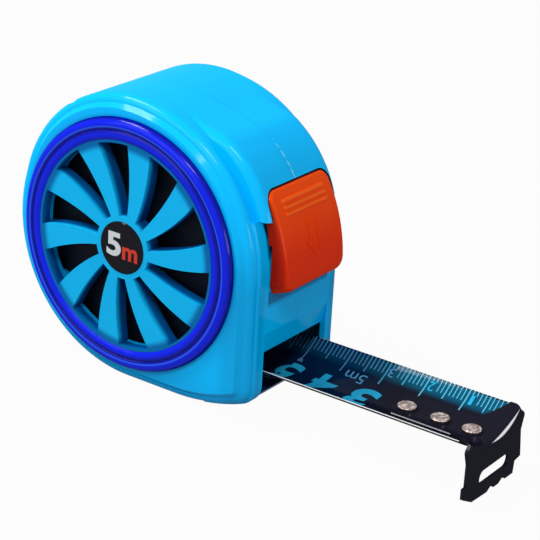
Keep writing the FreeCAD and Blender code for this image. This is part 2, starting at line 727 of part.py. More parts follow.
def rivet(x):
    """One rivet: domed head over the hook's tongue, flat foot under the blade."""
    length = 4 * RIVET_HEAD_R
    seat = Part.makeCylinder(TONGUE_TOP_R - FIT, length, V(x - length / 2, 0, CUP_Z), V(1, 0, 0))
    under = Part.makeCylinder(CUP_R + BLADE_T, length, V(x - length / 2, 0, CUP_Z), V(1, 0, 0))
    tongue_top = CUP_Z - TONGUE_TOP_R
    head_top = tongue_top + RIVET_HEAD_H
    head = upright(RIVET_HEAD_R, x, (tongue_top - 1, head_top))
    crown = [e for e in head.Edges if abs(e.BoundBox.ZMin - head_top) < 0.01]
    head = head.makeFillet(RIVET_CROWN, crown).common(seat)
    foot_z = BLADE_MID_Z - BLADE_T - RIVET_FOOT_H
    foot = upright(RIVET_FOOT_R, x, (foot_z, foot_z + 3)).cut(under)
    shank = upright(RIVET_SHANK_R, x, (foot_z + 0.5 * RIVET_FOOT_H, tongue_top + 0.5 * RIVET_HEAD_H))
    return one_solid(head.fuse([shank, foot]))


def hook_tongue():
    """The cupped tongue on the blade, widening towards the bend."""
    sheet = cup(TONGUE_TOP_R, CUP_R - FIT, 60, (TONGUE_BACK_X, HOOK_OUT_X))
    wide_x = HOOK_IN_X - FLARE_TO
    slim_x = HOOK_IN_X - FLARE_FROM
    right = [(TONGUE_BACK_X, TONGUE_Y), (slim_x, TONGUE_Y), (wide_x, FLARE_Y), (HOOK_OUT_X, FLARE_Y)]
    left = [(x, -y) for x, y in right[::-1]]
    plan = prism([V(x, y, -1) for x, y in right + left], V(0, 0, CUP_Z))
    back = [e for e in plan.Edges if e.BoundBox.ZLength > 1 and e.BoundBox.XMax < TONGUE_BACK_X + 0.1]
    return sheet.common(plan.makeFillet(TONGUE_ROUND, back))


def hook_plate():
    """The plate that hangs over the blade's end, with ears, notches and a nail slot."""
    shoulder = BLADE_Y + SHOULDER_OUT
    waist = BLADE_Y - WAIST_IN
    ear = BLADE_Y + EAR_OUT
    side = [(FLARE_Y, CUP_Z), (FLARE_Y, SHOULDER_Z + SHOULDER_H), (shoulder, SHOULDER_Z), (waist, WAIST_Z)]
    right = side + [(ear, EAR_FOOT_Z[1]), (FOOT_RIGHT_Y, EAR_FOOT_Z[1] - EAR_SLOPE),
                    (FOOT_RIGHT_Y - FOOT_SLOPE, PLATE_FOOT_Z)]
    for y in reversed(NOTCH_Y):
        right += [(y + NOTCH_HALF, PLATE_FOOT_Z), (y, PLATE_FOOT_Z + NOTCH_DEPTH), (y - NOTCH_HALF, PLATE_FOOT_Z)]
    left = [(-FOOT_LEFT_Y, PLATE_FOOT_Z + FOOT_SLOPE), (-ear, EAR_FOOT_Z[0]), (-ear, EAR_TOP_Z),
            (-waist, EAR_TOP_Z)] + [(-y, z) for y, z in side[::-1]]
    plate = prism([V(HOOK_IN_X, y, z) for y, z in right + left], V(HOOK_T, 0, 0))
    corners = [e for e in plate.Edges if e.BoundBox.XLength > 0.5 * HOOK_T
               and WAIST_Z - JOIN < e.BoundBox.ZMin < SHOULDER_Z + JOIN]
    plate = plate.makeFillet(PLATE_ROUND, corners)
    above = Part.makeCylinder(TONGUE_TOP_R, 4 * HOOK_T, V(HOOK_IN_X - HOOK_T, 0, CUP_Z), V(1, 0, 0))
    x = (HOOK_IN_X - 1, HOOK_OUT_X + 1)
    half = NAIL_SLOT_HALF - NAIL_SLOT_R
    ends = (NAIL_SLOT_Y - half, NAIL_SLOT_Y + half)
    slot = box(x, ends, (NAIL_SLOT_Z - NAIL_SLOT_R, NAIL_SLOT_Z + NAIL_SLOT_R))
    for y in ends:
        end = Part.makeCylinder(NAIL_SLOT_R, x[1] - x[0], V(x[0], y, NAIL_SLOT_Z), V(1, 0, 0))
        slot = slot.fuse(end)
    return plate.cut([above, slot])


def hook():
    """The hook: tongue and plate of one sheet, bent along the blade's cup."""
    sheet = hook_tongue().fuse(hook_plate()).removeSplitter()
    bend = []
    for edge in sheet.Edges:
        limits = edge.BoundBox
        at_front = limits.XLength < 0.01 and abs(limits.XMin - HOOK_OUT_X) < 0.01
        middle = edge.valueAt((edge.FirstParameter + edge.LastParameter) / 2)
        reach = math.hypot(middle.y, middle.z - CUP_Z)
        if at_front and abs(reach - TONGUE_TOP_R) < 0.05:
            bend.append(edge)
    sheet = sheet.makeFillet(BEND_R, bend)
    slots = []
    r = RIVET_SHANK_R + FIT
    for x in rivet_places():
        slots.append(upright(r, x, (0, AXIS_Z)))
        slots.append(upright(r, x + HOOK_PLAY, (0, AXIS_Z)))
        slots.append(box((x, x + HOOK_PLAY), (-r, r), (0, AXIS_Z)))
    return one_solid(sheet.cut(slots))


def mouth_bumper():
    """The dark block under the blade that the hook comes to rest against."""
    limits = box((MOUTH_BACK + FIT, 2 * CASE_R), (-MOUTH_Y + SEAT, MOUTH_Y - SEAT), (0, BUMPER_TOP))
    block = slab(BUMPER_PROUD, MOUTH_Y - SEAT).common(limits)
    floor = BASE_R - math.sqrt((BASE_R - WALL) ** 2 - (MOUTH_BACK - BASE_FRONT_X) ** 2) + FIT
    tongue = box((MOUTH_BACK - BUMPER_TONGUE_L, MOUTH_BACK + JOIN), (-MOUTH_Y + SEAT, MOUTH_Y - SEAT),
                 (floor, floor + BUMPER_TONGUE_T))
    return one_solid(block.fuse(tongue))


# ---------------------------------------------------------------- lock and brake
def face_disc(extra):
    """The round solid whose front is the button's curved face."""
    return disc(BUTTON_FACE_R + extra, (-BUTTON_Y, BUTTON_Y), BUTTON_FACE_X, AXIS_Z + BUTTON_FACE_Z)


def face_skin(height):
    """A layer from inside the button's curved face to a height over it."""
    return face_disc(height).cut(face_disc(-height))


def arrow(inset):
    """A downward arrow as a prism along X, drawn in by inset."""
    shaft = ARROW_SHAFT_Y - inset
    head = ARROW_HEAD_Y - 2 * inset
    top = ARROW_TOP - inset
    neck = ARROW_NECK - inset
    tip = ARROW_TIP + 1.5 * inset
    right = [(0, tip), (head, neck), (shaft, neck), (shaft, top)]
    left = [(-y, z) for y, z in right[:0:-1]]
    return prism([V(CASE_R, y, AXIS_Z + z) for y, z in right + left], V(CASE_R, 0, 0))


def button_plan():
    """The button's outline, seen from the front, as a block along X whose lower side slopes up."""
    back = 0.5 * CASE_R
    front = 2 * CASE_R - back
    foot = AXIS_Z + BUTTON_FOOT
    top = AXIS_Z + BUTTON_TOP
    low = [(x, foot + BUTTON_FOOT_RISE * (x - PANEL_X)) for x in (back, front)]
    block = prism_y(low + [(front, top), (back, top)], BUTTON_Y)
    long_edges = [e for e in block.Edges if e.BoundBox.XLength > 0.5 * CASE_R]
    return block.makeFillet(BUTTON_CORNER, long_edges)


def lock_button():
    """The sliding lock button with its stem; its face carries ribs and an arrow."""
    solid = face_disc(0).common(button_plan())
    slide_r = CASE_R + FREE
    head = solid.cut(disc(slide_r, (-BUTTON_Y - 1, BUTTON_Y + 1), 0, AXIS_Z + LOCK_TRAVEL))
    panel_zone = box((0, PANEL_X + FREE), (-2 * BUTTON_Y, 2 * BUTTON_Y),
                     (0, AXIS_Z + POCKET_FOOT + LOCK_TRAVEL + FREE))
    head = head.cut(panel_zone)
    front = []
    for edge in head.Edges:
        limits = edge.BoundBox
        middle = edge.valueAt((edge.FirstParameter + edge.LastParameter) / 2)
        reach = math.hypot(middle.x - BUTTON_FACE_X, middle.z - AXIS_Z - BUTTON_FACE_Z)
        if abs(reach - BUTTON_FACE_R) < 0.02 and limits.DiagonalLength > 0.5:
            front.append(edge)
    head = head.makeFillet(BUTTON_ROUND, front)
    raised = [face_skin(ARROW_RAISED).common(arrow(0).cut(arrow(ARROW_LINE)))]
    for z in RIB_Z:
        level = AXIS_Z + z
        rib = box((0.5 * CASE_R, 2 * CASE_R), (-RIB_Y, RIB_Y), (level - RIB_H / 2, level + RIB_H / 2))
        raised.append(face_skin(RIB_RAISED).common(rib))
    stem = box((SLIDER_FRONT_X, PANEL_X + STEM_REACH), (-STEM_Y, STEM_Y), (AXIS_Z + STEM_FOOT, AXIS_Z + STEM_TOP))
    return one_solid(head.fuse(raised + [stem]))


def lock_slider():
    """The slider inside the front wall, with the rod that pushes the brake."""
    x = (SLIDER_FRONT_X - SLIDER_T, SLIDER_FRONT_X)
    plate = box(x, (-SLIDER_Y, SLIDER_Y), (AXIS_Z + SLIDER_FOOT, AXIS_Z + SLIDER_TOP))
    low = PIN_Z + LEVER_TOP + ROD_GAP + ROD_HALF
    rod = box((ROD_X - ROD_HALF, ROD_X + ROD_HALF), (-ROD_Y, ROD_Y), (low, AXIS_Z + SLIDER_FOOT + JOIN))
    nose = disc(ROD_HALF, (-ROD_Y, ROD_Y), ROD_X, low)
    recess = box((SLIDER_FRONT_X, 2 * CASE_R), (-2 * STEM_Y, 2 * STEM_Y), (AXIS_Z + SLIDER_FOOT, 3 * AXIS_Z))
    return one_solid(plate.fuse([rod, nose]).cut(recess))


def brake_pin():
    """The pin that the brake lever swings on."""
    return disc(PIN_R, (-PIN_HALF, PIN_HALF), PIN_X, PIN_Z)


def brake_lever():
    """The forked lever between the slider's rod and the two pads."""
    boss = disc(LEVER_BOSS_R, (-LEVER_Y, LEVER_Y), PIN_X, PIN_Z)
    top = PIN_Z + LEVER_TOP
    low = top - LEVER_T
    tip = PIN_X + LEVER_TIP
    arm = box((PIN_X, tip), (-LEVER_Y, LEVER_Y), (low, top))
    bar = box((tip - PAD_L, tip), (-PAD_Y[1], PAD_Y[1]), (low, top))
    foot = box((tip - PAD_L, tip), PAD_Y, (low - LEVER_FOOT_H, low + JOIN))
    hole = disc(PIN_R + FIT, (-2 * LEVER_Y, 2 * LEVER_Y), PIN_X, PIN_Z)
    return one_solid(boss.fuse([arm, bar, foot, mirror_y(foot)]).cut(hole))


def brake_pad():
    """The right-hand rubber pad: its underside lies along the blade when the lever is down."""
    top = PIN_Z + LEVER_TOP - LEVER_T - LEVER_FOOT_H
    tip = PIN_X + LEVER_TIP
    block = box((tip - PAD_L, tip), PAD_Y, (BLADE_MID_Z, top))
    room = Part.makeCylinder(CUP_R - PAD_GAP, 2 * tip, V(0, 0, CUP_Z), V(1, 0, 0))
    room.rotate(V(PIN_X, 0, PIN_Z), V(0, 1, 0), -BRAKE_DEG)
    return one_solid(block.common(room))


def case_screw(degrees):
    """One case screw, driven in from the right under the trim ring."""
    x, z = screw_place(degrees)
    top = RING_SEAT_Y - FIT
    head = disc(SCREW_HEAD_R, (top - SCREW_HEAD_H, top), x, z)
    shank = disc(SCREW_SHANK_R, (-SCREW_REACH, top - 0.5 * SCREW_HEAD_H), x, z)
    arm = 0.6 * SCREW_HEAD_R
    slot = box((x - arm, x + arm), (top - 0.5 * SCREW_HEAD_H, top + 1), (z - SCREW_SLOT_W / 2, z + SCREW_SLOT_W / 2))
    return head.fuse(shank).cut(slot)


# ---------------------------------------------------------------- make them
os.makedirs("parts", exist_ok=True)

shell = case_shell()
write("case_left", case_half(shell, -1))
write("case_right", case_half(shell, 1))
write("ring_trim_left", mirror_y(ring_trim()))
write("ring_trim_right", ring_trim())
write("wheel_cover_left", wheel_cover())
write("hub_badge", hub_badge())
write("inner_plate", inner_plate())
write("cover_right", cover_right())
write("belt_clip", belt_clip())
write("belt_clip_screw", belt_clip_screw())
write("spindle", spindle())
write("drum", drum())
write("drum_cap", drum_cap())
write("mainspring", mainspring())
write("wound_blade", wound_blade())
write("blade", blade())
write("blade_inner_run", blade_inner_run())
write("hook_rivets", Part.makeCompound([rivet(x) for x in rivet_places()]))
write("hook", hook())
write("mouth_bumper", mouth_bumper())
write("lock_button", lock_button())
write("lock_slider", lock_slider())
write("brake_pin", brake_pin())
write("brake_lever", brake_lever())
write("brake_pad_left", mirror_y(brake_pad()))
write("brake_pad_right", brake_pad())
write("case_screws", Part.makeCompound([case_screw(degrees) for degrees in SCREW_DEG]))
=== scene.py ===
import bmesh
import bpy
import math
import numpy as np
from mathutils import Matrix, Vector


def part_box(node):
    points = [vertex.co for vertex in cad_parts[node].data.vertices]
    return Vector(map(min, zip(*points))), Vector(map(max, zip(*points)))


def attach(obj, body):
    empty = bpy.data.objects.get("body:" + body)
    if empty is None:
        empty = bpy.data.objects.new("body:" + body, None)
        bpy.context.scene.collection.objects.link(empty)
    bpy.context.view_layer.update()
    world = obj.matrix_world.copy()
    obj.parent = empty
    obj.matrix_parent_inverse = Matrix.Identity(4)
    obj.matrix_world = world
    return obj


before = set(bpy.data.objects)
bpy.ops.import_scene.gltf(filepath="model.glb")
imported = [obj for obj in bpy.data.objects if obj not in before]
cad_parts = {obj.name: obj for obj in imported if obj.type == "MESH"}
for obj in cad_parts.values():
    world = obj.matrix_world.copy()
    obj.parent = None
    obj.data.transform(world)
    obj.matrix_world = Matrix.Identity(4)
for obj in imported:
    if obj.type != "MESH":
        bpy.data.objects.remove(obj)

# A pocket tape measure with its blade drawn about 5 cm out.  Sizes here are in
# millimetres, in the CAD frame, and turn into metres where a mesh is made.
# A pair such as HOLLOW_X gives the ends of a range.

MM = 0.001
X, Y, Z = 0, 1, 2
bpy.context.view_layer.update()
scene = bpy.context.scene


def box_mm(node):
    """The lowest and highest corners of a CAD node, in millimetres."""
    low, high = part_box(node)
    return [v / MM for v in low], [v / MM for v in high]


# ---------------------------------------------------------------- sizes
COVER_LOW, COVER_HIGH = box_mm("wheel_cover_left")
AXIS_Z = 0.5 * (COVER_LOW[Z] + COVER_HIGH[Z])
COVER_R = 0.5 * (COVER_HIGH[Z] - COVER_LOW[Z])
HUB_R = 7.2
HUB_Y = 19.3                       # crest of the cover at its hub
SPOKE_DROP = 0.4                   # of the spokes' faces, from the hub out to the rim
BRIM_IN = (2.6, 0.9)               # fading edge of the painted shade at the spokes' outer ends
TURNED_PITCH = 5.7                 # radians of the plain cover's turned rings per millimetre

RING_LOW, RING_HIGH = box_mm("ring_trim_left")
RING_R = 0.5 * (RING_HIGH[Z] - RING_LOW[Z])
RING_VALLEY_R = 26.2
RING_SHEEN_R = 26.9                 # painted sheen line where the outer ridge rises from the valley

BACK_R = 32.0                      # round back of the case, down to the base
BACK_SHIFT = 0.5                   # its centre behind the wheel axis
SIDE_Y = 15.5                      # the case's sides lie outside of this
SEAT_W = 1.1                       # band of painted shade round the ring
SEAM_Y = (0.03, 0.16)              # fading edge of the parting line
SEAM_HIGHLIGHT_Z = (50.0, 58.5)             # where a painted highlight dashes along the parting line, in front of SEAM_HIGHLIGHT_X
SEAM_HIGHLIGHT_X = 20.0
FLANK_X = (24.0, 29.0)             # fading edges of the shade on both sides of the front panel
FLANK_Y = (11.5, 13.5)
FLANK_Z = (-6.0, 10.0)             # from the wheel axis
UNDER_Z = (25.0, 26.6)             # fading edge of the shade under the button
UNDER_TOP = 29.0
UNDER_X = 30.0
UNDER_Y = 11.2
HOLLOW_X = (10.0, 32.2)            # painted shade behind the mouth, inside the case
HOLLOW_Y = 11.95
HOLLOW_Z = (1.2, 30.0)
HOOD_EDGE_X = 33.9                 # lower edge of the hood over the button
HOOD_EDGE_Z = 45.0
HOOD_LEAN = 0.43                   # how far its front runs back for each millimetre up

BADGE_LOW = box_mm("hub_badge")[0]
BUTTON_LOW, BUTTON_HIGH = box_mm("lock_button")
BUTTON_GAP = 0.3                   # round the button, to the walls of its pocket
POCKET_CORNER = 3.1
POCKET_FOOT = AXIS_Z + 4.0
POCKET_X = 24.0                    # the pocket lies in front of this
PAST_EDGE = 0.02                   # how far its painted shade reaches past its outline
CHEEK_IN = 3.5                     # width of the lighter blue painted shade down each of its sides
RIB_LEVELS = (13.6, 14.9, 16.2)    # of the button's ribs, above the wheel axis
RIB_Y = 7.6

BLADE_LOW = box_mm("blade")[0]
BLADE_T = 0.18
CUP_R = 16.82                      # inner radius of the blade's cup
CUP_AXIS_Z = BLADE_LOW[Z] + BLADE_T + CUP_R
BARE_EDGE_Y = (11.14, 11.2)        # fading edge of the blade's sheared sides, pale as bare steel with a painted highlight
BARE_EDGE_X = 33.0                 # they show in front of this
RUN_LOW = box_mm("blade_inner_run")[0]
FILM = 0.02                        # height of the print over the enamel
PRINT_Y = (-7.0, 11.0)             # the lettering lies within this, and bends every STRIP_W
STRIP_W = 0.5

HOOK_LOW, HOOK_HIGH = box_mm("hook")
TONGUE_Y = 5.3                     # half width of the hook's tongue
TONGUE_TOP_R = CUP_R - 0.85
ZERO_X = HOOK_HIGH[X] - 2.8        # zero of the printed scale
CM = 10.0


# ---------------------------------------------------------------- shader maths
class Value:
    """A shader socket that takes part in sums written as Python."""

    def __init__(self, tree, socket):
        self.tree = tree
        self.socket = socket

    def node(self, kind, inputs, output=0, **settings):
        """Any other node, with its inputs by name or number; returns one of its outputs."""
        made = self.tree.nodes.new(kind)
        for name, value in settings.items():
            setattr(made, name, value)
        for name, value in inputs.items():
            if isinstance(value, Value):
                self.tree.links.new(value.socket, made.inputs[name])
            else:
                made.inputs[name].default_value = value
        return Value(self.tree, made.outputs[output])

    def math(self, operation, *values):
        return self.node("ShaderNodeMath", dict(enumerate(values)), operation=operation)

    def __add__(self, other):
        return self.math("ADD", self, other)

    def __radd__(self, other):
        return self.math("ADD", other, self)

    def __sub__(self, other):
        return self.math("SUBTRACT", self, other)

    def __rsub__(self, other):
        return self.math("SUBTRACT", other, self)

    def __mul__(self, other):
        return self.math("MULTIPLY", self, other)

    def __rmul__(self, other):
        return self.math("MULTIPLY", other, self)

    def __truediv__(self, other):
        return self.math("DIVIDE", self, other)

    def __pow__(self, other):
        return self.math("POWER", self, other)

    def __abs__(self):
        return self.math("ABSOLUTE", self)

    def __lt__(self, other):
        return self.math("LESS_THAN", self, other)

    def __gt__(self, other):
        return self.math("GREATER_THAN", self, other)

    def at_least(self, other):
        return self.math("MAXIMUM", self, other)

    def fraction(self):
        return self.math("FRACT", self)

    def sine(self):
        return self.math("SINE", self)

    def ramp(self, start, end):
        """0 before start, 1 after end, smooth between."""
        inputs = {"Value": self, "From Min": start, "From Max": end}
        return self.node("ShaderNodeMapRange", inputs, interpolation_type="SMOOTHSTEP")

    def mix(self, first, second):
        """The colour first where this is 0 and second where it is 1."""
        inputs = {"Factor": self, "A": colour(first), "B": colour(second)}
        return self.node("ShaderNodeMix", inputs, output="Result", data_type="RGBA")


def colour(value):
    """A colour with its alpha, where it isn't a socket."""
    return value if isinstance(value, Value) else (*value, 1.0)


def between(value, low, high):
    """1 where value is between low and high."""
    return (value > low) * (value < high)


class Finish:
    """A Principled material and the coordinates that its pattern starts from, in millimetres."""

    def __init__(self, name, base, roughness, **constants):
        self.material = bpy.data.materials.new(name)
        self.material.use_nodes = True
        tree = self.material.node_tree
        self.shader = tree.nodes["Principled BSDF"]
        for socket, value in constants.items():
            self.shader.inputs[socket.replace("_", " ")].default_value = value
        start = Value(tree, None)
        metres = start.node("ShaderNodeTexCoord", {}, output="Object")
        scaled = {0: metres, "Scale": 1 / MM}
        self.point = start.node("ShaderNodeVectorMath", scaled, operation="SCALE")
        self.x = start.node("ShaderNodeSeparateXYZ", {0: self.point})
        self.y = Value(tree, self.x.socket.node.outputs[Y])
        self.z = Value(tree, self.x.socket.node.outputs[Z])
        self.feed("Base Color", base)
        self.feed("Roughness", roughness)

    def feed(self, name, value):
        """Connect a value to the shader, or set it there."""
        if isinstance(value, Value):
            value.tree.links.new(value.socket, self.shader.inputs[name])
        elif isinstance(value, tuple):
            self.shader.inputs[name].default_value = colour(value)
        else:
            self.shader.inputs[name].default_value = value

    def noise(self, size, detail=3.0, stretch=(1.0, 1.0, 1.0)):
        """Noise from 0 to 1 with features of about size millimetres."""
        stretched = {0: self.point, 1: stretch}
        spot = self.point.node("ShaderNodeVectorMath", stretched, operation="MULTIPLY")
        inputs = {"Vector": spot, "Scale": 1 / size, "Detail": detail}
        return spot.node("ShaderNodeTexNoise", inputs)

    def radius(self):
        """Distance from the wheel axis."""
        up = self.z - AXIS_Z
        return (self.x * self.x + up * up) ** 0.5

    def relief(self, height):
        """Bump from a height in millimetres."""
        inputs = {"Height": height, "Distance": MM, "Strength": 1.0}
        self.feed("Normal", height.node("ShaderNodeBump", inputs))


# ---------------------------------------------------------------- finishes
CYAN = (0.0, 0.48, 0.97)
GLOSS = {"Specular_IOR_Level": 0.0, "Coat_IOR": 2.0}     # all of the shine is in the coat


def case_plastic():
    """Glossy cyan moulding: a fine parting line down the middle with a painted highlight on it,
    and painted shade inside.
    """
    f = Finish("case_plastic", CYAN, 0.2, Coat_Weight=0.07, Coat_Roughness=0.1, **GLOSS)
    skin = f.noise(14.0).mix((0.0, 0.46, 0.95), (0.0, 0.50, 1.0))
    groove = 1 - (abs(f.y)).ramp(*SEAM_Y)
    patchy = f.noise(1.6).ramp(0.45, 0.55)
    # Painted highlight: pale dashes along the parting line near the top of the front.
    painted_seam_glint = groove * between(f.z, *SEAM_HIGHLIGHT_Z) * (f.x > SEAM_HIGHLIGHT_X) * patchy
    skin = case_shades(f, (painted_seam_glint * 0.8).mix(skin, (0.55, 0.85, 1.0)))
    pocket = button_pocket(f)
    # Painted shade: near-black behind the mouth and in the button's pocket, lighter blue down the
    # pocket's sides.
    painted_hollow_shade = between(f.x, *HOLLOW_X) * (abs(f.y) < HOLLOW_Y) * between(f.z, *HOLLOW_Z)
    painted_cheek_shade = pocket * (f.z < HOOD_EDGE_Z + 1.0) * (abs(f.y) > BUTTON_HIGH[Y] - CHEEK_IN)
    dark = painted_cheek_shade.mix((0.0, 0.012, 0.03), (0.0, 0.3, 0.7))
    f.feed("Base Color", painted_hollow_shade.at_least(pocket).mix(skin, dark))
    f.feed("Roughness", 0.17 + 0.07 * f.noise(5.0))
    f.relief(0.004 * f.noise(1.1) - 0.08 * groove)
    return f.material


def case_shades(f, skin):
    """Painted shade: deeper blue round the ring, near the base and beside the front panel, and a
    painted shadow under the button.
    """
    painted_ring_shade = (1 - (f.radius() - RING_R).ramp(0.0, SEAT_W)) * (abs(f.y) > SIDE_Y)
    skin = (0.5 * painted_ring_shade).mix(skin, (0.0, 0.2, 0.5))
    # Painted shade, darker towards the base.
    low = 1 - f.z.ramp(0.5, 10.0)
    skin = (0.35 * low).mix(skin, (0.0, 0.2, 0.5))
    below_axis = 1 - (f.z - AXIS_Z).ramp(*FLANK_Z)
    painted_flank_shade = below_axis * f.x.ramp(*FLANK_X) * (abs(f.y)).ramp(*FLANK_Y)
    skin = (0.42 * painted_flank_shade).mix(skin, (0.0, 0.24, 0.55))
    # Painted shadow on the panel just under the button.
    under = f.z.ramp(*UNDER_Z) * (f.z < UNDER_TOP) * (f.x > UNDER_X) * (abs(f.y) < UNDER_Y)
    return (0.75 * under).mix(skin, (0.0, 0.05, 0.2))


def button_pocket(f):
    """1 in the pocket, which is given painted shade: within a corner radius of the rectangle
    that holds the corners' centres.
    """
    inset = BUTTON_GAP - POCKET_CORNER
    to_side = (abs(f.y) - (BUTTON_HIGH[Y] + inset)).at_least(0.0)
    to_top = (f.z - (BUTTON_HIGH[Z] + inset)).at_least(0.0)
    inside = (to_side * to_side + to_top * to_top) ** 0.5 < POCKET_CORNER + PAST_EDGE
    return inside * (f.x > POCKET_X) * (f.z > POCKET_FOOT - PAST_EDGE)


def cover_plastic():
    """The same cyan on the spoked cover; painted shade turns the spokes' walls deep blue
    and darkens their outer ends.
    """
    f = Finish("cover_plastic", CYAN, 0.25, Coat_Weight=0.05, Coat_Roughness=0.15, **GLOSS)
    r = f.radius()
    dome = HUB_Y - SPOKE_DROP * r.ramp(HUB_R, COVER_R)
    # Painted shade: the spokes' walls darken with depth, and their outer ends darken too.
    painted_wall_shade = (dome - abs(f.y)).ramp(0.1, 1.8)
    face = f.noise(9.0).mix((0.004, 0.40, 0.78), (0.006, 0.46, 0.86))
    painted_brim_shade = r.ramp(COVER_R - BRIM_IN[0], COVER_R - BRIM_IN[1])
    face = (0.9 * painted_brim_shade).mix(face, (0.0, 0.1, 0.33))
    f.feed("Base Color", (painted_wall_shade * 0.95).mix(face, (0.0, 0.065, 0.26)))
    f.feed("Roughness", 0.22 + 0.08 * f.noise(3.0))
    f.relief(0.005 * f.noise(1.0))
    return f.material


def plain_cover_plastic():
    """Cyan moulding with faint turned rings."""
    f = Finish("plain_cover_plastic", CYAN, 0.35, Coat_Weight=0.07, Coat_Roughness=0.2, **GLOSS)
    turned = (f.radius() * TURNED_PITCH).sine()
    f.feed("Base Color", f.noise(11.0).mix((0.0, 0.48, 0.90), (0.0, 0.54, 0.97)))
    f.feed("Roughness", 0.3 + 0.1 * f.noise(3.0))
    f.relief(0.006 * turned + 0.012 * f.noise(0.9))
    return f.material


def ring_plastic():
    """Royal blue and very glossy; painted shade darkens the valley between its ridges and its outer
    edge, and a painted sheen line runs up the outer ridge.
    """
    blue, deep = (0.0, 0.012, 0.72), (0.0, 0.003, 0.28)
    f = Finish("ring_plastic", blue, 0.12, Coat_Weight=0.09, Coat_Roughness=0.11, **GLOSS)
    r = f.radius()
    # Painted shade in the valley and at the outer edge, and a painted sheen line on the outer
    # ridge.
    valley = 1 - (abs(r - RING_VALLEY_R)).ramp(0.1, 1.1)
    edge = r.ramp(RING_R - 0.7, RING_R - 0.1)
    line = 1 - (abs(r - RING_SHEEN_R)).ramp(0.06, 0.3)
    shaded = valley.at_least(edge).mix(blue, deep)
    f.feed("Base Color", (0.6 * line).mix(shaded, (0.03, 0.14, 0.9)))
    f.feed("Roughness", 0.1 + 0.08 * f.noise(4.0))
    f.relief(0.006 * f.noise(1.2))
    return f.material


def badge_film():
    """Black domed label."""
    black = (0.006, 0.006, 0.01)
    f = Finish("badge_film", black, 0.15, Coat_Weight=0.06, Coat_Roughness=0.05, **GLOSS)
    f.feed("Roughness", 0.12 + 0.1 * f.noise(2.0))
    f.relief(0.004 * f.noise(0.7))
    return f.material


def moulded(name, base, light, roughness, grain):
    """Plain moulded plastic with a fine grain."""
    f = Finish(name, base, roughness, Specular_IOR_Level=0.12)
    f.feed("Base Color", f.noise(4.0).mix(base, light))
    f.feed("Roughness", roughness + 0.1 * f.noise(1.5))
    f.relief(grain * f.noise(0.35))
    return f.material


def button_plastic():
    """Red-orange moulding with painted light, lighter towards the top and on the ribs, and painted
    shade, deeper at the sides and the foot and dark where it goes under the hood.
    """
    red = (0.62, 0.045, 0.002)
    f = Finish("button_plastic", red, 0.25, Coat_Weight=0.05, Coat_Roughness=0.1, **GLOSS)
    # Painted shade down the sides, and painted light towards the top.
    side = (abs(f.y)).ramp(10.3, 11.2)
    high = (f.z - AXIS_Z).ramp(2.0, 18.0)
    face = high.mix((0.76, 0.03, 0.001), (0.88, 0.072, 0.003))
    # Painted highlights along the ribs' crests.
    painted_rib_highlights = 0.0
    for level in RIB_LEVELS:
        painted_rib_highlights = painted_rib_highlights + (1 - abs(f.z - AXIS_Z - level).ramp(0.12, 0.42))
    painted_rib_highlights = painted_rib_highlights * (abs(f.y) < RIB_Y)
    face = (0.45 * painted_rib_highlights).mix(face, (1.0, 0.2, 0.02))
    # Painted shade where the button goes in under the hood.
    behind_hood = f.x + HOOD_LEAN * (f.z - HOOD_EDGE_Z) < HOOD_EDGE_X - 0.05
    painted_gap_shade = behind_hood * (f.z > HOOD_EDGE_Z)
    skin = (side * 0.8).mix(face, (0.28, 0.004, 0.001))
    # Painted shadow along the foot.
    foot = 1 - (f.z - BUTTON_LOW[Z]).ramp(0.15, 0.9)
    skin = (0.7 * foot).mix(skin, (0.05, 0.001, 0.002))
    f.feed("Base Color", (0.9 * painted_gap_shade).mix(skin, (0.01, 0.003, 0.006)))
    f.feed("Roughness", 0.28 + 0.1 * f.noise(2.5))
    f.relief(0.006 * f.noise(0.7))
    return f.material


def steel(name, base, roughness, grain_along):
    """Bare metal with a fine grain along one axis."""
    f = Finish(name, base, roughness, Metallic=1.0)
    stretch = tuple(0.08 if axis == grain_along else 1.0 for axis in (X, Y, Z))
    grain = f.noise(0.25, stretch=stretch)
    f.feed("Roughness", roughness + 0.2 * grain)
    f.feed("Base Color", grain.mix(tuple(0.82 * v for v in base), base))
    f.relief(0.008 * grain)
    return f.material


def rivet_metal():
    """Worn nickel: a rough, mottled crown and a brighter rim."""
    f = Finish("rivet_metal", (0.6, 0.52, 0.5), 0.3, Metallic=1.0)
    wear = f.noise(0.8, detail=6.0)
    crown = f.z.ramp(7.8, 8.0)
    stained = crown * wear.ramp(0.38, 0.58)
    f.feed("Base Color", stained.mix((0.56, 0.5, 0.48), (0.24, 0.17, 0.15)))
    f.feed("Roughness", 0.16 + 0.3 * crown)
    f.relief(0.05 * crown * wear)
    return f.material


def coated_steel():
    """Black coated spring steel with bare, worn edges."""
    black = (0.018, 0.018, 0.022)
    f = Finish("clip_steel", black, 0.35, Coat_Weight=0.2)
    edge = (abs(f.x) + 0.35 * f.noise(1.1)).ramp(6.95, 7.2)
    f.feed("Base Color", edge.mix(black, (0.32, 0.31, 0.3)))
    f.feed("Metallic", edge)
    f.feed("Roughness", 0.28 + 0.15 * f.noise(1.5))
    f.relief(0.01 * f.noise(0.5))
    return f.material


